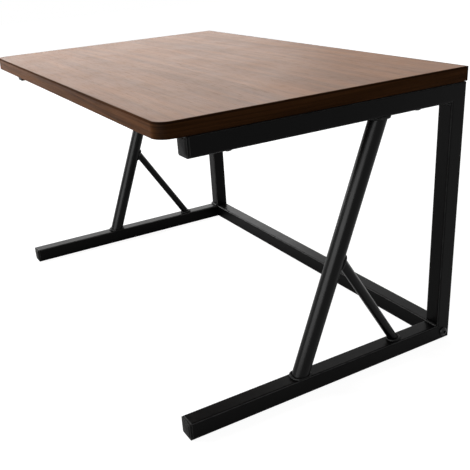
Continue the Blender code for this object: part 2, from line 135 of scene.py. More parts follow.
class NodePad:
    """Adds and joins the nodes of one material, world or node group."""

    def __init__(self, tree: bpy.types.NodeTree) -> None:
        """Keeps the tree that the nodes go into."""
        self.tree = tree

    def add(self, kind: str, inputs: dict | None = None, **settings) -> bpy.types.Node:
        """Adds one node.

        Args:
            kind: Blender's name for the kind of node.
            inputs: values or sockets, by the input's name or number.
            settings: the node's own properties.

        Returns:
            The new node.
        """
        node = self.tree.nodes.new(kind)
        for key, value in settings.items():
            setattr(node, key, value)
        for key, value in (inputs or {}).items():
            if isinstance(value, Socket):
                self.tree.links.new(value, node.inputs[key])
            else:
                node.inputs[key].default_value = value
        return node

    def first(self, kind: str, inputs: dict | None = None, **settings) -> Socket:
        """Adds one node as add does and returns its first output."""
        return self.add(kind, inputs, **settings).outputs[0]

    def join(self, targets: Sockets, **sources: Socket) -> None:
        """Links outputs to the inputs of these names, with _ for a space."""
        for name, source in sources.items():
            self.tree.links.new(source, targets[name.replace("_", " ")])

    def math(self, operation: str, *terms: Value, clamp: bool = False) -> Socket:
        """Adds a Math node on values or sockets and returns its result."""
        given = dict(enumerate(terms))
        return self.first("ShaderNodeMath", given, operation=operation, use_clamp=clamp)

    def times(self, first: Value, second: Value) -> Socket:
        """Multiplies two numbers and returns the product."""
        return self.math("MULTIPLY", first, second)

    def stretch(self, place: Socket, scale: Point) -> Socket:
        """Multiplies a place by a scale for each axis and returns the result."""
        given = {0: place, 1: scale}
        return self.first("ShaderNodeVectorMath", given, operation="MULTIPLY")

    def cloud(self, place: Socket, scale: Value, detail: float) -> Socket:
        """Adds a noise texture, scale features to the metre, and returns its value."""
        given = {"Vector": place, "Scale": scale, "Detail": detail}
        return self.add("ShaderNodeTexNoise", given).outputs["Fac"]

    def ramp(self, value: Socket, low: Value, high: Value) -> Socket:
        """Turns low..high into a smooth 0..1 and returns the result."""
        given = {0: value, 1: low, 2: high}
        return self.first("ShaderNodeMapRange", given, interpolation_type="SMOOTHSTEP")

    def blend(self, share: Value, first: Paint, second: Paint) -> Socket:
        """Mixes two colours and returns the result: first at share 0, second at share 1."""
        given = {0: share, 6: first, 7: second}
        return self.add("ShaderNodeMix", given, data_type="RGBA").outputs[2]

    def bump(self, height: Socket, depth: float) -> Socket:
        """Adds a Bump node of that depth in metres and returns its normal."""
        return self.first("ShaderNodeBump", {"Height": height, "Distance": depth})


class ShaderEffect:
    """A surface effect that several finishes use, kept as one shader node group."""

    name: str = ""
    takes: dict[str, Kind] = {}
    gives: dict[str, Kind] = {}

    def tree(self) -> bpy.types.NodeTree:
        """Builds the node group the first time it is asked for, and returns it."""
        made = bpy.data.node_groups.get(self.name)
        if made:
            return made
        made = bpy.data.node_groups.new(self.name, "ShaderNodeTree")
        for way, sockets in (("INPUT", self.takes), ("OUTPUT", self.gives)):
            for name, kind in sockets.items():
                made.interface.new_socket(name, in_out=way, socket_type=kind.value)
        start, end = made.nodes.new("NodeGroupInput"), made.nodes.new("NodeGroupOutput")
        self.wire(NodePad(made), start.outputs, end.inputs)
        return made

    def wire(self, pad: NodePad, given: Sockets, result: Sockets) -> None:
        """Joins the group's inputs to its outputs; each effect has its own way."""
        raise NotImplementedError

    def place(self, pad: NodePad, **inputs: Value | Paint) -> Sockets:
        """Puts the effect into a material, with its inputs by name, and returns its outputs."""
        named = {name.replace("_", " "): value for name, value in inputs.items()}
        return pad.add("ShaderNodeGroup", named, node_tree=self.tree()).outputs


@dataclass(frozen=True)
class GrainLayer:
    """One layer of the grain: a cloud drawn out along x and cut to a soft mask."""

    along: float
    across: float
    detail: float = 2.0
    share: float = 0.0
    low: float = 0.3
    high: float = 0.7

    def cloud(self, pad: NodePad, place: Socket) -> Socket:
        """Adds the layer's cloud and returns its value."""
        drawn_out = pad.stretch(place, (self.along, self.across, self.across))
        return pad.cloud(drawn_out, 1.0, self.detail)

    def mask(self, pad: NodePad, place: Socket) -> Socket:
        """Adds the layer's soft mask and returns it."""
        return pad.ramp(self.cloud(pad, place), self.low, self.high)


class WoodGrain(ShaderEffect):
    """Straight walnut grain along x: broad bands, fine fibres and short dark pores."""

    name = "wood_grain"
    wander = GrainLayer(along=1.7, across=5.0)
    bands = GrainLayer(along=1.5, across=30.0, detail=3.0, share=0.30)
    mottle = GrainLayer(along=9.0, across=26.0, share=0.16)
    streaks = GrainLayer(along=5.0, across=95.0, detail=3.0, share=0.34, low=0.35, high=0.65)
    fibres = GrainLayer(along=9.0, across=420.0, share=0.20)
    pores = GrainLayer(along=55.0, across=1700.0, detail=1.0, low=0.60, high=0.74)
    drift = 0.05
    pore_tint = 0.25
    fibre_lift = 0.3
    takes = {"Place": Kind.PLACE, "Pale": Kind.COLOUR, "Dark": Kind.COLOUR, "Pore": Kind.COLOUR}
    gives = {"Colour": Kind.COLOUR, "Pores": Kind.NUMBER, "Height": Kind.NUMBER}

    def wire(self, pad: NodePad, given: Sockets, result: Sockets) -> None:
        """Lays the bands, fibres and pores over one another."""
        wander = pad.math("SUBTRACT", self.wander.cloud(pad, given["Place"]), CLOUD_MIDDLE)
        offset = pad.first("ShaderNodeCombineXYZ", {1: pad.times(wander, self.drift)})
        place = pad.first("ShaderNodeVectorMath", {0: given["Place"], 1: offset}, operation="ADD")
        layers = (self.bands, self.mottle, self.streaks, self.fibres)
        masks = [layer.mask(pad, place) for layer in layers]
        parts = [pad.times(mask, layer.share) for mask, layer in zip(masks, layers)]
        share = parts[0]
        for part in parts[1:]:
            share = pad.math("ADD", share, part)
        pores = self.pores.mask(pad, place)
        wood = pad.blend(share, given["Pale"], given["Dark"])
        colour = pad.blend(pad.times(pores, self.pore_tint), wood, given["Pore"])
        height = pad.math("SUBTRACT", pad.times(masks[-1], self.fibre_lift), pores)
        pad.join(result, Colour=colour, Pores=pores, Height=height)


class SurfaceTooth(ShaderEffect):
    """The fine uneven skin of baked powder, moulded plastic or blackened steel."""

    name = "surface_tooth"
    takes = {"Place": Kind.PLACE, "Per Metre": Kind.NUMBER}
    gives = {"Height": Kind.NUMBER, "Fleck": Kind.NUMBER}
    detail = 3.0
    fleck_heights = (0.58, 0.74)

    def wire(self, pad: NodePad, given: Sockets, result: Sockets) -> None:
        """Adds the skin's height and a mask of its highest flecks."""
        height = pad.cloud(given["Place"], given["Per Metre"], self.detail)
        pad.join(result, Height=height, Fleck=pad.ramp(height, *self.fleck_heights))


class HandledSheen(ShaderEffect):
    """Roughness that swings a little over the surface, as on a thing that is handled."""

    name = "handled_sheen"
    takes = {"Place": Kind.PLACE, "Roughness": Kind.NUMBER, "Swing": Kind.NUMBER}
    gives = {"Roughness": Kind.NUMBER}
    per_metre = 26.0
    detail = 3.0

    def wire(self, pad: NodePad, given: Sockets, result: Sockets) -> None:
        """Swings the roughness with a slow cloud."""
        cloud = pad.cloud(given["Place"], self.per_metre, self.detail)
        swing = pad.math("SUBTRACT", cloud, CLOUD_MIDDLE)
        swung = pad.math("MULTIPLY_ADD", swing, given["Swing"], given["Roughness"])
        pad.join(result, Roughness=swung)


class SettledDust(ShaderEffect):
    """A mask of the faint dust that settles on faces that look up."""

    name = "settled_dust"
    takes = {"Place": Kind.PLACE, "Amount": Kind.NUMBER}
    gives = {"Dust": Kind.NUMBER}
    looks_up = (0.55, 1.0)
    per_metre = 60.0
    detail = 5.0
    patch_edges = (0.35, 0.75)

    def wire(self, pad: NodePad, given: Sockets, result: Sockets) -> None:
        """Lets dust lie where the face looks up, in loose patches."""
        normal = pad.add("ShaderNodeNewGeometry").outputs["Normal"]
        rise = pad.add("ShaderNodeSeparateXYZ", {0: normal}).outputs[2]
        cloud = pad.cloud(given["Place"], self.per_metre, self.detail)
        upward, patches = pad.ramp(rise, *self.looks_up), pad.ramp(cloud, *self.patch_edges)
        lying = pad.times(upward, patches)
        pad.join(result, Dust=pad.math("MULTIPLY", lying, given["Amount"], clamp=True))


class WornHighlightedEdge(ShaderEffect):
    """A mask of the long edges and cut end of square stock, where the skin is thin: wear plus
    painted highlight.
    """

    name = "worn_highlighted_edge"
    takes = {"Place": Kind.PLACE, "Amount": Kind.NUMBER, "Near Cut": Kind.NUMBER}
    gives = {"Rubbed": Kind.NUMBER}
    flatness = (0.86, 0.985)
    per_metre = 85.0
    detail = 4.0
    patch_edges = (0.25, 0.65)
    least_share = 0.5
    cut_band = (0.0014, 0.0008)

    # The mask lightens these edges: partly rubbed wear, partly a painted highlight along the edges
    # and the cut end.
    def wire(self, pad: NodePad, given: Sockets, result: Sockets) -> None:
        """Finds the faces that look between the axes and the last bit before the cut."""
        normal = pad.add("ShaderNodeNewGeometry").outputs["Normal"]
        parts = pad.add("ShaderNodeSeparateXYZ", {0: normal}).outputs
        sizes = [pad.math("ABSOLUTE", part) for part in parts]
        largest = pad.math("MAXIMUM", pad.math("MAXIMUM", sizes[0], sizes[1]), sizes[2])
        flat = pad.ramp(largest, *self.flatness)
        cloud = pad.cloud(given["Place"], self.per_metre, self.detail)
        uneven = pad.ramp(cloud, *self.patch_edges)
        spread = pad.math("MULTIPLY_ADD", uneven, 1 - self.least_share, self.least_share)
        amount = pad.times(spread, given["Amount"])
        at_cut = pad.ramp(given["Near Cut"], *(1 - away for away in self.cut_band))
        edge = pad.math("MAXIMUM", pad.math("SUBTRACT", 1.0, flat), at_cut)
        pad.join(result, Rubbed=pad.math("MULTIPLY", edge, amount, clamp=True))


GRAIN = WoodGrain()
TOOTH = SurfaceTooth()
SHEEN = HandledSheen()
DUST = SettledDust()
EDGE_WEAR_HIGHLIGHT = WornHighlightedEdge()
DUST_COLOUR = (0.32, 0.30, 0.28, 1)
WHITE = (1, 1, 1, 1)


# ---- finishes


def opaque(colour: Colour) -> tuple[float, float, float, float]:
    """Adds an alpha of 1 to a colour."""
    return (*colour, 1.0)


@dataclass(frozen=True, kw_only=True)
class Finish:
    """What every finish has: a look, a roughness, how strongly it mirrors, and its dust."""

    look: Look
    roughness: float
    mirror: float
    sheen_swing: float
    metallic: float = 0.0
    dust: float = 0.0

    def dusted(self, pad: NodePad, place: Socket, colour: Socket) -> Socket:
        """Lays the finish's dust over a colour and returns the result."""
        dust = DUST.place(pad, Place=place, Amount=self.dust)["Dust"]
        return pad.blend(dust, colour, DUST_COLOUR)

    def sheen(self, pad: NodePad, place: Socket) -> Socket:
        """Adds the roughness with its slow swing and returns it."""
        sheen = SHEEN.place(pad, Place=place, Roughness=self.roughness, Swing=self.sheen_swing)
        return sheen["Roughness"]

    def material(self) -> bpy.types.Material:
        """Builds the finish as a Principled material and returns it."""
        material = bpy.data.materials.new(f"{self.look.name.lower()}_finish")
        material.use_nodes = True
        pad = NodePad(material.node_tree)
        shader = material.node_tree.nodes["Principled BSDF"]
        shader.inputs["Specular IOR Level"].default_value = self.mirror
        shader.inputs["Metallic"].default_value = self.metallic
        pad.join(shader.inputs, **self.surface(pad))
        return material

    def surface(self, pad: NodePad) -> dict[str, Socket]:
        """Adds the finish's nodes and returns what feeds the shader, by its input's name."""
        raise NotImplementedError


@dataclass(frozen=True, kw_only=True)
class WalnutFinish(Finish):
    """Walnut veneer under a satin lacquer."""

    pale: Colour
    dark: Colour
    pore: Colour
    runs_by: GrainPlace
    pore_depth: float
    sheen_swing: float = 0.12
    pore_dullness: float = 0.18
    crowding: float = 1.0
    arris: float = 0.0
    arris_below: float = 0.0005
    arris_above: float = 0.0003
    arris_tint: float = 0.6
    arris_dullness: float = 0.3

    def surface(self, pad: NodePad) -> dict[str, Socket]:
        """Adds the grain's colour, the pores in the lacquer and, if any, the dark arris."""
        place = pad.add("ShaderNodeTexCoord").outputs[self.runs_by.value]
        across = pad.add("ShaderNodeSeparateXYZ", {0: place}).outputs[1]
        if self.crowding != 1.0:
            place = pad.stretch(place, (1.0, self.crowding, self.crowding))
        pale, dark, pore = opaque(self.pale), opaque(self.dark), opaque(self.pore)
        grain = GRAIN.place(pad, Place=place, Pale=pale, Dark=dark, Pore=pore)
        colour = self.dusted(pad, place, grain["Colour"])
        dull = pad.times(grain["Pores"], self.pore_dullness)
        rough = pad.math("ADD", self.sheen(pad, place), dull, clamp=True)
        if self.arris:
            line = pad.ramp(across, self.arris - self.arris_below, self.arris + self.arris_above)
            colour = pad.blend(pad.times(line, self.arris_tint), colour, pore)
            dull = pad.times(line, self.arris_dullness)
            rough = pad.math("ADD", rough, dull, clamp=True)
        normal = pad.bump(grain["Height"], self.pore_depth)
        return {"Base Color": colour, "Roughness": rough, "Normal": normal}


@dataclass(frozen=True, kw_only=True)
class SkinFinish(Finish):
    """Powder coat, moulded plastic or blackened metal: one colour with a fine uneven skin."""

    colour: Colour
    fleck: Colour
    tooth_per_metre: float
    tooth_depth: float
    sheen_swing: float = 0.14
    fleck_tint: float = 0.5
    # How far the edges are lightened, and to what colour: partly wear, partly painted highlight.
    rubbed: float = 0.0
    edge_wear_and_highlight_colour: Colour = (0.1, 0.1, 0.1)

    def surface(self, pad: NodePad) -> dict[str, Socket]:
        """Adds the skin's colour, pale flecks, bump and, if any, lighter edges: partly wear,
        partly painted highlight.
        """
        place = pad.add("ShaderNodeTexCoord").outputs["Object"]
        tooth = TOOTH.place(pad, Place=place, Per_Metre=self.tooth_per_metre)
        share = pad.times(tooth["Fleck"], self.fleck_tint)
        flecked = pad.blend(share, opaque(self.colour), opaque(self.fleck))
        colour = self.dusted(pad, place, flecked)
        # Lighter edges and cut end: partly rubbed wear, partly a painted highlight that the edges
        # would catch.
        if self.rubbed:
            near = pad.add("ShaderNodeAttribute", attribute_name=NEAR_CUT).outputs["Fac"]
            rubbed = EDGE_WEAR_HIGHLIGHT.place(pad, Place=place, Amount=self.rubbed, Near_Cut=near)["Rubbed"]
            colour = pad.blend(rubbed, colour, opaque(self.edge_wear_and_highlight_colour))
        normal = pad.bump(tooth["Height"], self.tooth_depth)
        return {"Base Color": colour, "Roughness": self.sheen(pad, place), "Normal": normal}


POWDER_COAT = SkinFinish(
    look=Look.ROUND_TUBE,
    roughness=0.29,
    mirror=0.10,
    colour=(0.0012, 0.0012, 0.0012),
    fleck=(0.0032, 0.0032, 0.0033),
    tooth_per_metre=1100.0,
    tooth_depth=0.00003,
    dust=0.012,
)

FINISHES: tuple[Finish, ...] = (
    WalnutFinish(
        look=Look.BOARD,
        roughness=0.52,
        mirror=0.30,
        pale=(0.247, 0.1075, 0.0392),
        dark=(0.122, 0.0495, 0.0159),
        pore=(0.070, 0.026, 0.011),
        runs_by=GrainPlace.OBJECT,
        pore_depth=0.000012,
        dust=0.03,
    ),
    # The banding's walnut is much darker than the board's: partly its own tone, partly painted
    # shade on the board's front and sides.
    WalnutFinish(
        look=Look.BANDING,
        roughness=0.50,
        mirror=0.018,
        pale=(0.168, 0.066, 0.0222),
        dark=(0.0240, 0.0093, 0.0032),
        pore=(0.0145, 0.0058, 0.0027),
        runs_by=GrainPlace.STRIP,
        pore_depth=0.00004,
        arris=0.0142,
        crowding=2.2,
    ),
    replace(
        POWDER_COAT,
        look=Look.SQUARE_TUBE,
        roughness=0.33,
        mirror=0.055,
        # Lighter edges and cut end: partly wear, partly painted highlight.
        rubbed=1.0,
        edge_wear_and_highlight_colour=(0.075, 0.075, 0.075),
    ),
    POWDER_COAT,
    SkinFinish(
        look=Look.CAP,
        roughness=0.45,
        mirror=0.04,
        colour=(0.0085, 0.0085, 0.0083),
        fleck=(0.016, 0.016, 0.0156),
        tooth_per_metre=2200.0,
        tooth_depth=0.00002,
        dust=0.02,
        # Lighter rim edges: partly wear, partly painted highlight.
        rubbed=0.4,
        edge_wear_and_highlight_colour=(0.12, 0.12, 0.118),
    ),
    SkinFinish(
        look=Look.STEEL,
        roughness=0.36,
        mirror=0.22,
        colour=(0.012, 0.012, 0.0125),
        fleck=(0.030, 0.029, 0.028),
        tooth_per_metre=3000.0,
        tooth_depth=0.00001,
        metallic=0.25,
    ),
    SkinFinish(
        look=Look.BRASS,
        roughness=0.34,
        mirror=0.5,
        colour=(0.60, 0.43, 0.19),
        fleck=(0.46, 0.31, 0.13),
        tooth_per_metre=1800.0,
        tooth_depth=0.00001,
        metallic=1.0,
    ),
)


# ---- meshes


def rounded_square(half: float, radius: float, steps: int) -> Outline:
    """The outline of a rounded square round the origin.

    Args:
        half: half the square's size.
        radius: its corner radius.
        steps: straight steps in each corner.

    Returns:
        The points across and up, anticlockwise.
    """
    points = []
    for corner in range(4):
        middle = math.radians(45 + 90 * corner)
        centre_x = math.copysign(half - radius, math.cos(middle))
        centre_y = math.copysign(half - radius, math.sin(middle))
        for step in range(steps + 1):
            turn = math.radians(90 * (corner + step / steps))
            across = centre_x + radius * math.cos(turn)
            points.append((across, centre_y + radius * math.sin(turn)))
    return points


def rounding(radius: float, steps: int) -> Outline:
    """A quarter turn as distances in from the side and in from the face."""
    turn = [math.radians(90 * step / steps) for step in range(steps + 1)]
    return [(radius * (1 - math.cos(angle)), radius * (1 - math.sin(angle))) for angle in turn]


def loft(loops: list[list[Vector]]) -> Mesh:
    """Skins a row of equal loops into one body with filled ends.

    Args:
        loops: the loops, each with as many points as the next.

    Returns:
        The mesh, with faces that look out.
    """
    bm = bmesh.new()
    rows = [[bm.verts.new(point) for point in loop] for loop in loops]
    count = len(rows[0])
    for row, following in zip(rows, rows[1:]):
        for i in range(count):
            j = (i + 1) % count
            bm.faces.new((row[i], row[j], following[j], following[i]))
    bm.faces.new(list(reversed(rows[0])))
    bm.faces.new(rows[-1])
    return facing_out(bm)


def facing_out(bm: Mesh) -> Mesh:
    """Turns a closed mesh's faces to look out and returns it."""
    bmesh.ops.recalc_face_normals(bm, faces=bm.faces)
    if bm.calc_volume(signed=True) < 0:
        bmesh.ops.reverse_faces(bm, faces=bm.faces)
    return bm


def merged_copy(node: str) -> Mesh:
    """A copy of a CAD node's mesh with its doubled points merged."""
    bm = bmesh.new()
    bm.from_mesh(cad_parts[node].data)
    bmesh.ops.remove_doubles(bm, verts=bm.verts, dist=MERGE_DISTANCE)
    return bm


def piece_from(bm: Mesh, name: str, smooth_below: float = 40.0) -> Piece:
    """Makes a shown piece from a mesh.

    Args:
        bm: the mesh, freed here.
        name: the piece's name.
        smooth_below: edges that turn less than these degrees are shaded smooth.

    Returns:
        The piece.
    """
    mesh = bpy.data.meshes.new(name)
    bm.to_mesh(mesh)
    bm.free()
    mesh.polygons.foreach_set("use_smooth", [True] * len(mesh.polygons))
    mesh.set_sharp_from_angle(angle=math.radians(smooth_below))
    piece = bpy.data.objects.new(name, mesh)
    bpy.context.scene.collection.objects.link(piece)
    return piece


class Wardrobe:
    """The materials of the stand, built once each, and the ways to put them on."""

    def __init__(self, finishes: tuple[Finish, ...]) -> None:
        """Builds every finish's material."""
        self.materials = {finish.look: finish.material() for finish in finishes}

    def dress(self, node: str, look: Look) -> None:
        """Puts a finish on a CAD node's own material slots."""
        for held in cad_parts[node].material_slots:
            held.link = "OBJECT"
            held.material = self.materials[look]

    def stand_in(self, piece: Piece, node: str, look: Look) -> None:
        """Puts a finished piece in the place of a CAD node.

        Args:
            piece: the piece, already in its place.
            node: the CAD node that it stands for.
            look: the finish that it takes.
        """
        piece.data.materials.clear()
        piece.data.materials.append(self.materials[look])
        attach(piece, "root")
        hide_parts(node)
        log.info("%s stands for %s with %d faces", piece.name, node, len(piece.data.polygons))


# ---- board


@dataclass
class Board:
    """The walnut board: its core, and the two strips of edge banding round it."""

    corner_radius: float = 0.015
    corner_steps: int = 18
    band_thickness: float = 0.0012
    eased_edge: float = 0.0003
    eased_steps: int = 4

    def section(self, low: float, high: float) -> Outline:
        """The band's cut end: distances in from its outer face, and heights."""
        eased = rounding(self.eased_edge, self.eased_steps)
        lower = [(inward, low + up) for inward, up in reversed(eased)]
        upper = [(inward, high - down) for inward, down in eased]
        return [(self.band_thickness, low), *lower, *upper, (self.band_thickness, high)]

    def strip(self, name: str, stations: list[Station], section: Outline) -> Piece:
        """Makes one strip of banding with its own lengthwise coordinates.

        Args:
            name: the piece's name.
            stations: places on the outer face with the direction that looks out there.
            section: the strip's cut end.

        Returns:
            The piece, with UVs in metres along and across the strip.
        """
        run, across = [0.0], [0.0]
        for (spot, _), (following, _) in zip(stations, stations[1:]):
            run.append(run[-1] + (following - spot).length)
        for first, second in zip(section, section[1:] + section[:1]):
            across.append(across[-1] + math.dist(first, second))
        bm = bmesh.new()
        sheet = bm.loops.layers.uv.new("UVMap")
        rows = []
        for spot, out in stations:
            edge = [(spot.x - out.x * inward, spot.y - out.y * inward, z) for inward, z in section]
            rows.append([bm.verts.new(point) for point in edge])
        count = len(section)
        for s in range(len(rows) - 1):
            for i in range(count):
                j = (i + 1) % count
                corners = ((s, i, i), (s, j, i + 1), (s + 1, j, i + 1), (s + 1, i, i))
                face = bm.faces.new([rows[station][point] for station, point, _ in corners])
                for corner, (station, _, step) in zip(face.loops, corners):
                    corner[sheet].uv = (run[station], across[step])
        for row, along in ((list(reversed(rows[0])), 0.0), (rows[-1], run[-1])):
            end = bm.faces.new(row)
            for corner in end.loops:
                corner[sheet].uv = (along, corner.vert.co.z)
        return piece_from(facing_out(bm), name)

    def front_and_side_stations(self, low: Vector, high: Vector) -> list[Station]:
        """Stations from the rear left, round the front, to the rear right."""
        radius = self.corner_radius
        stations = [(Vector((low.x, high.y, 0)), -AHEAD)]
        for centre_x, first in ((low.x + radius, 180), (high.x - radius, 270)):
            for step in range(self.corner_steps + 1):
                angle = math.radians(first + 90 * step / self.corner_steps)
                out = Vector((math.cos(angle), math.sin(angle), 0))
                stations.append((Vector((centre_x, low.y + radius, 0)) + out * radius, out))
        stations.append((Vector((high.x, high.y, 0)), AHEAD))
        return stations

    def rear_stations(self, low: Vector, high: Vector) -> list[Station]:
        """Stations along the rear edge, from right to left."""
        return [(Vector((x, high.y, 0)), BACK) for x in (high.x, low.x)]

    def build(self, wardrobe: Wardrobe) -> None:
        """Dresses the core and builds both strips."""
        wardrobe.dress("board_core", Look.BOARD)
        strips = {"front_and_sides": self.front_and_side_stations, "rear": self.rear_stations}
        for place, stations in strips.items():
            low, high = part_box(f"edge_band_{place}")
            section = self.section(low.z, high.z)
            strip = self.strip(f"banding_{place}", stations(low, high), section)
            wardrobe.stand_in(strip, f"edge_band_{place}", Look.BANDING)


# ---- frame pieces


@dataclass
class WeldBead:
    """A weld bead with the overlapping ripples that the torch leaves."""

    voxel: float = 0.00034
    ripple_pitch: float = 0.0016
    ripple_depth: float = 0.00022
    chevron: float = 0.27
    ring_height: float = 0.002
    fillet_height: float = 0.003
    lump_depth: float = 0.00012
    lumps_per_metre: float = 420.0
    smooth_below: float = 60.0

    def refined(self, node: str) -> Mesh:
        """A copy of the CAD bead as one even skin of small faces."""
        rough = piece_from(merged_copy(node), f"{node}_rough")
        skin = rough.modifiers.new("even skin", "REMESH")
        skin.mode = "VOXEL"
        skin.voxel_size = self.voxel
        evaluated = rough.evaluated_get(bpy.context.evaluated_depsgraph_get())
        fine = bmesh.new()
        fine.from_mesh(evaluated.to_mesh())
        evaluated.to_mesh_clear()
        mesh = rough.data
        bpy.data.objects.remove(rough)
        bpy.data.meshes.remove(mesh)
        return fine

    def build(self, node: str, axis: Vector | None) -> Piece:
        """Makes the rippled bead that stands for a CAD bead.

        Args:
            node: the CAD bead's name.
            axis: the axis that a ring runs round, or None for a straight bead along x.

        Returns:
            The piece.
        """
        low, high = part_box(node)
        centre = (low + high) / 2
        bm = self.refined(node)
        bm.normal_update()
        if axis:
            across = axis.orthogonal().normalized()
            along = axis.cross(across)
        ring_radius = max(high.x - low.x, high.y - low.y) / 2
        way_round = 2 * math.pi * ring_radius
        pitch = way_round / max(1, round(way_round / self.ripple_pitch))
        moves = {}
        for vert in bm.verts:
            arm = vert.co - centre
            if axis:
                run = math.atan2(arm.dot(along), arm.dot(across)) * ring_radius
                rise = arm.dot(axis) / self.ring_height
            else:
                run, rise = arm.x, (arm.y + arm.z) / self.fillet_height
            wave = abs(math.sin(math.pi * (run / pitch + self.chevron * rise * rise)))
            lump = (1 + noise.noise(vert.co * self.lumps_per_metre)) / 2
            depth = self.ripple_depth * (1 - wave) + self.lump_depth * lump
            moves[vert] = vert.normal * -depth
        for vert, move in moves.items():
            vert.co += move
        return piece_from(bm, f"bead_{node}", self.smooth_below)


@dataclass
class Mitres:
    """Where a side frame's rear corners are cut."""

    rear: float
    bottom: float
    top: float


@dataclass
class TubeStock:
    """A length of tube as drawn: round to the eye, with its mitres welded and ground flush."""

    axis: Vector
    corner_radius: float = 0.0
    mitre_gap: float = 0.0003
    ground_gap: float = 0.00002
    nearly_along: float = 0.94

    def outward(self, spot: Vector, middle: Vector, reach: Vector) -> Vector:
        """Which way the rounded surface looks at a spot, with flats that reach so far."""
        arm = spot - middle
        arm -= self.axis * arm.dot(self.axis)
        core = Vector([max(-most, min(most, part)) for part, most in zip(arm, reach)])
        return (arm - core).normalized()

    def close_mitres(self, bm: Mesh, mitres: Mitres) -> None:
        """Moves the mitred ends up to the mitre planes, as a ground weld fills the joint."""
        for height, slope in ((mitres.bottom, 1), (mitres.top, -1)):
            along = self.axis.y + slope * self.axis.z
            for vert in bm.verts:
                past_rear, past_end = vert.co.y - mitres.rear, vert.co.z - height
                away = (past_rear + slope * past_end) / math.sqrt(2)
                if abs(abs(away) - self.mitre_gap / 2) < self.ground_gap / 2:
                    change = math.copysign(self.ground_gap / 2, away) - away
                    vert.co += self.axis * (change * math.sqrt(2) / along)

    def round_normals(self, mesh: bpy.types.Mesh) -> list[Vector]:
        """The shading directions of the true rounded tube.

        Args:
            mesh: the tube's mesh.

        Returns:
            One direction for each corner of each face; the ends keep their own.
        """
        first = self.axis.orthogonal().normalized()
        middle, half = Vector(), 0.0
        for side in (first, self.axis.cross(first)):
            spread = [vert.co.dot(side) for vert in mesh.vertices]
            middle += side * (max(spread) + min(spread)) / 2
            half = (max(spread) - min(spread)) / 2
        flat = half - self.corner_radius if self.corner_radius else 0.0
        reach = Vector([flat * (1 - abs(part)) for part in self.axis]) if flat else Vector()
        normals = [None] * len(mesh.loops)
        for face in mesh.polygons:
            for index in face.loop_indices:
                spot = mesh.vertices[mesh.loops[index].vertex_index].co
                out = self.outward(spot, middle, reach)
                facing = face.normal.dot(out)
                rounded = abs(facing) > self.nearly_along
                normals[index] = out * math.copysign(1, facing) if rounded else face.normal
        return normals

    def build(self, node: str, mitres: Mitres | None = None, capped: bool = False) -> Piece:
        """Makes the tube in the place of a CAD tube.

        Args:
            node: the CAD tube's name.
            mitres: where the frame's corners are cut, for a tube with mitred ends.
            capped: whether the tube's first end is a plain cut with a cap in it.

        Returns:
            The piece; a capped one carries 1 less each point's metres from the cut.
        """
        bm = merged_copy(node)
        if mitres:
            self.close_mitres(bm, mitres)
        piece = piece_from(bm, f"smooth_{node}")
        mesh = piece.data
        mesh.normals_split_custom_set(self.round_normals(mesh))
        if capped:
            places = [vert.co.dot(self.axis) for vert in mesh.vertices]
            nearness = mesh.attributes.new(NEAR_CUT, "FLOAT", "POINT")
            cut = min(places)
            nearness.data.foreach_set("value", [1 - (place - cut) for place in places])
        return piece


@dataclass
class TubeCap:
    """A moulded cap: a plug in the tube, a rim with rounded edges and a raised panel."""

    panel_half: float = 0.0073
    plug_half: float = 0.0082
    hollow_half: float = 0.0070
    rim_radius: float = TUBE_CORNER
    inner_radius: float = 0.0007
    panel_rise: float = 0.0007
    rim_thickness: float = 0.0014
    rim_round: float = 0.0004
    panel_round: float = 0.000315
    round_steps: int = 3
    corner_steps: int = 6
    plug_taper: float = 0.0003
    taper_length: float = 0.0006
    foot_width: float = 0.00035
    foot_radius: float = 0.0003
    foot_height: float = 0.00025
    smooth_below: float = 35.0

    def build(self, node: str) -> Piece:
        """Makes the cap in the place of a CAD cap and returns it."""
        low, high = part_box(node)
        centre_x, centre_z = (low.x + high.x) / 2, (low.z + high.z) / 2
        half = (high.z - low.z) / 2
        front = low.y + self.panel_rise
        back = front + self.rim_thickness
        panel, plug, hollow = self.panel_half, self.plug_half, self.hollow_half
        radius, outer = self.inner_radius, self.rim_radius
        soft = rounding(self.rim_round, self.round_steps)
        small = rounding(self.panel_round, self.round_steps)
        steps = [
            (hollow, radius, back),
            (hollow, radius, high.y),
            (plug - self.plug_taper, radius, high.y),
            (plug, radius, high.y - self.taper_length),
            (plug, radius, back),
            *((half - inward, outer - inward, back - up) for inward, up in reversed(soft)),
            *((half - inward, outer - inward, front + up) for inward, up in soft),
            (panel + self.foot_width, radius + self.foot_radius, front),
            (panel, radius, front - self.foot_height),
            *((panel - inward, radius, low.y + up) for inward, up in small),
        ]
        loops = []
        for size, corner, y in steps:
            outline = rounded_square(size, corner, self.corner_steps)
            loops.append([Vector((centre_x + a, y, centre_z + b)) for a, b in outline])
        return piece_from(loft(loops), f"moulded_{node}", self.smooth_below)


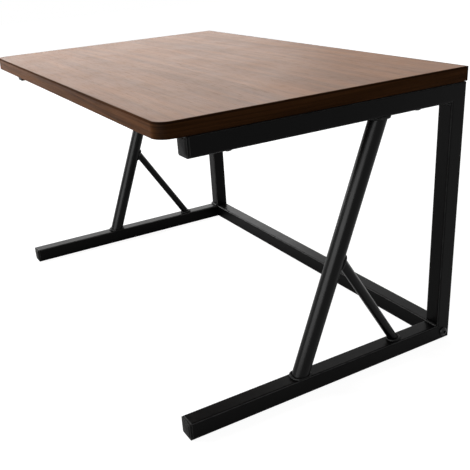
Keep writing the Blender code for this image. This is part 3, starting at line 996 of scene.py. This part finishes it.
@dataclass
class ButtonScrew:
    """A button-head screw with a hexagon socket and a threaded shank."""

    diameter: float
    head_diameter: float
    head_height: float
    socket_width: float
    socket_depth: float
    pitch: float
    columns: int = 48
    dome_steps: int = 9
    lead_in: float = 0.00025
    edge_land: float = 0.0004
    undercut: float = 0.0002
    drill_share: float = 0.12
    drill_depth: float = 0.0003
    neck: float = 0.0006
    plain_length: float = 0.0016
    root_share: float = 0.88
    tip_share: float = 0.8
    smooth_below: float = 30.0

    def angles(self) -> list[float]:
        """The turn of each column of points."""
        return [2 * math.pi * i / self.columns for i in range(self.columns)]

    def ring(self, radius: float, height: float) -> list[Point]:
        """A round ring of points about z."""
        turns = self.angles()
        return [(radius * math.cos(turn), radius * math.sin(turn), height) for turn in turns]

    def hexagon(self, height: float) -> list[Point]:
        """A ring of points about z that lies on the socket's hexagon."""
        points = []
        sixth = math.pi / 3
        for turn in self.angles():
            reach = self.socket_width / 2 / math.cos((turn % sixth) - sixth / 2)
            points.append((reach * math.cos(turn), reach * math.sin(turn), height))
        return points

    def head_loops(self) -> list[list[Point]]:
        """The rings of the socket and the domed head, from the socket's floor outward."""
        head_radius = self.head_diameter / 2
        floor = self.head_height - self.socket_depth
        rim = self.socket_width / 2 / math.cos(math.pi / 6) + self.lead_in
        flat = self.head_height * math.sqrt(max(0.0, 1 - (rim / head_radius) ** 2))
        loops = [
            self.ring(self.socket_width * self.drill_share, floor - self.drill_depth),
            self.hexagon(floor),
            self.hexagon(flat - self.lead_in),
            self.ring(rim, flat),
        ]
        start = math.asin(rim / head_radius)
        for step in range(1, self.dome_steps + 1):
            angle = start + (math.pi / 2 - start) * step / self.dome_steps
            height = self.edge_land + (self.head_height - self.edge_land) * math.cos(angle)
            loops.append(self.ring(head_radius * math.sin(angle), height))
        return [*loops, self.ring(head_radius - self.undercut, 0.0)]

    def shank_loops(self, reach: float) -> list[list[Point]]:
        """The rings of the threaded shank, from under the head down to its tip."""
        radius = self.diameter / 2
        loops = [self.ring(radius, 0.0)]
        threads = int((reach - self.plain_length) / self.pitch)
        for turn in range(threads):
            top = -self.neck - turn * self.pitch
            loops.append(self.ring(radius, top))
            loops.append(self.ring(radius * self.root_share, top - self.pitch / 2))
        loops.append(self.ring(radius, -self.neck - threads * self.pitch))
        return [*loops, self.ring(radius * self.tip_share, -reach)]

    def build(self, name: str, tip: Vector, head: Vector) -> Piece:
        """Makes the screw between two points.

        Args:
            name: the piece's name.
            tip: the end of the shank.
            head: the top of the head.

        Returns:
            The piece.
        """
        reach = (head - tip).length - self.head_height
        place = Matrix.Translation(tip + (head - tip).normalized() * reach)
        turned = place @ (head - tip).to_track_quat("Z", "Y").to_matrix().to_4x4()
        loops = self.head_loops() + self.shank_loops(reach)
        bm = loft([[turned @ Vector(point) for point in loop] for loop in loops])
        return piece_from(bm, name, self.smooth_below)


FRAME_SCREW = ButtonScrew(
    diameter=0.006, head_diameter=0.0105, head_height=0.0033,
    socket_width=0.004, socket_depth=0.0022, pitch=0.001,
)
BOARD_SCREW = ButtonScrew(
    diameter=0.005, head_diameter=0.0095, head_height=0.0028,
    socket_width=0.003, socket_depth=0.0016, pitch=0.0008,
)


@dataclass
class SideFrame:
    """One welded side frame with its caps and screws."""

    side: Side
    strut_lean: Point = (0.0, 0.3600, 0.9329)
    brace_lean: Point = (0.0, -0.5571, 0.8304)

    def node(self, name: str) -> str:
        """The CAD's name for one of this frame's pieces."""
        return f"{self.side.value}_{name}"

    def build(self, wardrobe: Wardrobe) -> None:
        """Builds the tubes, beads, caps and screws."""
        self.build_tubes(wardrobe)
        axes = {
            "slanted_tube_foot": UP,
            "slanted_tube_top": UP,
            "brace_foot": UP,
            "brace_top": Vector(self.brace_lean),
            "upright_foot": None,
            "upright_top": None,
        }
        for place, axis in axes.items():
            node = self.node(f"weld_{place}")
            wardrobe.stand_in(WeldBead().build(node, axis), node, Look.ROUND_TUBE)
        for name in ("rail_cap", "arm_cap"):
            node = self.node(name)
            wardrobe.stand_in(TubeCap().build(node), node, Look.CAP)
        self.build_screws(wardrobe)
        log.info("%s frame: tubes, beads, caps and screws in place", self.side.value)

    def build_tubes(self, wardrobe: Wardrobe) -> None:
        """Builds the three square tubes and the two round ones."""
        mitres = Mitres(
            rear=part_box(self.node("rear_upright"))[1].y,
            bottom=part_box(self.node("bottom_rail"))[0].z,
            top=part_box(self.node("top_arm"))[1].z,
        )
        for name, axis in (("bottom_rail", BACK), ("rear_upright", UP), ("top_arm", BACK)):
            node = self.node(name)
            tube = TubeStock(axis, TUBE_CORNER).build(node, mitres, capped=axis is BACK)
            wardrobe.stand_in(tube, node, Look.SQUARE_TUBE)
        for name, lean in (("slanted_tube", self.strut_lean), ("brace_rod", self.brace_lean)):
            node = self.node(name)
            tube = TubeStock(Vector(lean).normalized()).build(node)
            wardrobe.stand_in(tube, node, Look.ROUND_TUBE)

    def build_screw(
        self, wardrobe: Wardrobe, name: str, screw: ButtonScrew, axis: int, way: int
    ) -> None:
        """Builds one screw along an axis, with its head at the high end if way is 1, low if -1."""
        node = self.node(name)
        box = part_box(node)
        ends = [(box[0] + box[1]) / 2 for _ in box]
        for end, corner in zip(ends, box[::way]):
            end[axis] = corner[axis]
        wardrobe.stand_in(screw.build(f"button_{node}", *ends), node, Look.STEEL)

    def build_screws(self, wardrobe: Wardrobe) -> None:
        """Builds the screw into the cross rail and the two up into the board."""
        self.build_screw(wardrobe, "frame_screw", FRAME_SCREW, 0, self.side.sign)
        for place in ("front", "rear"):
            self.build_screw(wardrobe, f"{place}_board_screw", BOARD_SCREW, 2, -1)
            wardrobe.dress(self.node(f"{place}_board_insert"), Look.BRASS)


class CrossRail:
    """The rear cross rail and the nuts in its ends."""

    def build(self, wardrobe: Wardrobe) -> None:
        """Builds the rail and dresses its nuts."""
        tube = TubeStock(AHEAD, TUBE_CORNER).build("rear_cross_rail")
        wardrobe.stand_in(tube, "rear_cross_rail", Look.SQUARE_TUBE)
        for side in Side:
            wardrobe.dress(f"{side.value}_cross_rail_nut", Look.STEEL)
        log.info("cross rail and nuts in place")


# ---- studio


@dataclass(frozen=True)
class SoftLamp:
    """A soft box: an area lamp that looks at the stand; one may show in gloss alone."""

    name: str
    at: Point
    aim: Point
    size: tuple[float, float]
    watts: float
    gloss_only: bool = False

    def build(self) -> None:
        """Hangs the lamp."""
        data = bpy.data.lights.new(f"{self.name} soft box", "AREA")
        data.shape = "RECTANGLE"
        data.size, data.size_y = self.size
        data.energy = self.watts
        lamp = bpy.data.objects.new(data.name, data)
        lamp.location = self.at
        lamp.rotation_mode = "QUATERNION"
        lamp.rotation_quaternion = (Vector(self.aim) - lamp.location).to_track_quat("-Z", "Y")
        lamp.visible_diffuse = not self.gloss_only
        bpy.context.scene.collection.objects.link(lamp)


@dataclass(frozen=True)
class PhotoCamera:
    """The camera at the photograph's place."""

    place: Point
    aim: Point
    roll: float
    focal_pixels: float
    centre_row: float
    nearest: float = 0.02
    farthest: float = 60.0

    def build(self) -> None:
        """Makes the camera and gives it to the scene."""
        data = bpy.data.cameras.new("photo camera")
        data.sensor_width = SENSOR_WIDTH
        data.lens = self.focal_pixels / PHOTO_WIDTH * SENSOR_WIDTH
        data.shift_y = (self.centre_row - PHOTO_WIDTH / 2) / PHOTO_WIDTH
        data.clip_start, data.clip_end = self.nearest, self.farthest
        camera = bpy.data.objects.new("photo camera", data)
        look = (Vector(self.aim) - Vector(self.place)).to_track_quat("-Z", "Y")
        tilt = Matrix.Rotation(math.radians(self.roll), 4, "Z")
        turned = look.to_matrix().to_4x4() @ tilt
        camera.matrix_world = Matrix.Translation(self.place) @ turned
        bpy.context.scene.collection.objects.link(camera)
        bpy.context.scene.camera = camera


@dataclass(frozen=True)
class Studio:
    """A pale floor that turns white behind the stand, and soft light."""

    lamps: tuple[SoftLamp, ...]
    camera: PhotoCamera
    ambient: float
    floor_colour: Colour
    near_glow: float
    floor_half: float = 5.0
    floor_cells: int = 8
    floor_drop: float = 0.0002
    near: float = 0.6
    far: float = 1.5
    shade_reach: float = 0.5
    shade_samples: int = 4

    def cleared(self, holder: bpy.types.World | bpy.types.Material) -> NodePad:
        """Empties a world's or a material's nodes and returns their pad."""
        holder.use_nodes = True
        holder.node_tree.nodes.clear()
        return NodePad(holder.node_tree)

    def seen_plainly(self, pad: NodePad) -> Socket:
        """A mask of the rays that show the background: to the camera, or by gloss or glass."""
        rays = pad.add("ShaderNodeLightPath").outputs
        seen = pad.math("MAXIMUM", rays["Is Camera Ray"], rays["Is Glossy Ray"])
        return pad.math("MAXIMUM", seen, rays["Is Transmission Ray"])

    def build_world(self) -> None:
        """White where it is seen, and dim light elsewhere."""
        world = bpy.data.worlds.new("studio")
        bpy.context.scene.world = world
        pad = self.cleared(world)
        level = opaque((self.ambient,) * 3)
        light = pad.first("ShaderNodeBackground", {"Color": level})
        white = pad.first("ShaderNodeBackground", {"Color": WHITE})
        given = {0: self.seen_plainly(pad), 1: light, 2: white}
        both = pad.first("ShaderNodeMixShader", given)
        pad.add("ShaderNodeOutputWorld", {"Surface": both})

    def build_floor(self) -> None:
        """A pale floor: it keeps the shadow, fades to white and hides nothing from below; in gloss
        its glow carries painted shade.
        """
        bm = bmesh.new()
        cells = self.floor_cells
        bmesh.ops.create_grid(bm, x_segments=cells, y_segments=cells, size=self.floor_half)
        floor = piece_from(bm, "studio_floor")
        floor.location.z = -self.floor_drop
        material = bpy.data.materials.new("studio_floor")
        floor.data.materials.append(material)
        pad = self.cleared(material)
        place = pad.add("ShaderNodeTexCoord").outputs["Object"]
        away = pad.add("ShaderNodeVectorMath", {0: place}, operation="LENGTH")
        fade = pad.ramp(away.outputs["Value"], self.near, self.far)
        level = pad.first("ShaderNodeMapRange", {0: fade, 3: self.near_glow, 4: 1.0})
        # In gloss, the floor's white glow is darkened by ambient occlusion: painted shade under
        # and near the stand.
        given = {"Distance": self.shade_reach}
        floor_occlusion = pad.add("ShaderNodeAmbientOcclusion", given, samples=self.shade_samples)
        rays = pad.add("ShaderNodeLightPath").outputs
        given = {0: rays["Is Glossy Ray"], 2: 1.0, 3: floor_occlusion.outputs["AO"]}
        gloss_painted_shade = pad.first("ShaderNodeMix", given)
        glow = pad.times(self.seen_plainly(pad), pad.math("MULTIPLY", level, gloss_painted_shade))
        plain = pad.first("ShaderNodeBsdfDiffuse", {"Color": opaque(self.floor_colour)})
        white = pad.first("ShaderNodeEmission", {"Color": WHITE, "Strength": glow})
        both = pad.first("ShaderNodeAddShader", {0: plain, 1: white})
        underside = pad.add("ShaderNodeNewGeometry").outputs["Backfacing"]
        below = pad.times(underside, rays["Is Camera Ray"])
        clear = pad.first("ShaderNodeBsdfTransparent")
        shown = pad.first("ShaderNodeMixShader", {0: below, 1: both, 2: clear})
        pad.add("ShaderNodeOutputMaterial", {"Surface": shown})

    def build(self) -> None:
        """Builds the floor, the world, the lamps and the camera."""
        self.build_world()
        self.build_floor()
        for lamp in self.lamps:
            lamp.build()
        self.camera.build()
        bpy.context.scene.view_settings.view_transform = "Standard"
        log.info("studio built with %d lamps", len(self.lamps))


LAMPS = (
    SoftLamp("key", at=(-1.25, -1.35, 1.4), aim=(0, 0, 0.25), size=(1.2, 1.2), watts=47.0),
    SoftLamp("overhead", at=(-0.1, 0.3, 1.7), aim=(0, 0, 0.2), size=(1.6, 1.6), watts=8.0),
    SoftLamp("rear", at=(-1.2, 1.5, 0.7), aim=(0, 0, 0.3), size=(1.2, 0.8), watts=0.9),
    SoftLamp("rear left", at=(-2.0, 0.46, 0.75), aim=(0, 0, 0.32), size=(1.9, 0.8), watts=11.5),
    SoftLamp(
        "front left", at=(-1.85, -0.7, 0.6), aim=(0, -0.1, 0.25), size=(0.7, 0.8), watts=10.0
    ),
    SoftLamp(
        "front", at=(0.74, -1.72, 0.52), aim=(0.28, 0, 0.15), size=(1.8, 0.9), watts=42.0,
        gloss_only=True,
    ),
)

STUDIO = Studio(
    lamps=LAMPS,
    camera=PhotoCamera(
        place=(0.814204, -0.400208, 0.453774),
        aim=(0.0, 0.041600, 0.030261),
        roll=-3.8936,
        focal_pixels=699.15,
        centre_row=264.883,
    ),
    ambient=0.08,
    floor_colour=(0.28, 0.28, 0.28),
    near_glow=0.94,
)


def main() -> None:
    """Builds the studio and dresses the stand."""
    logging.basicConfig(level=logging.INFO, format="%(name)s: %(message)s")
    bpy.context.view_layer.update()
    STUDIO.build()
    wardrobe = Wardrobe(FINISHES)
    Board().build(wardrobe)
    for side in Side:
        SideFrame(side).build(wardrobe)
    CrossRail().build(wardrobe)


if __name__ == "__main__":
    main()
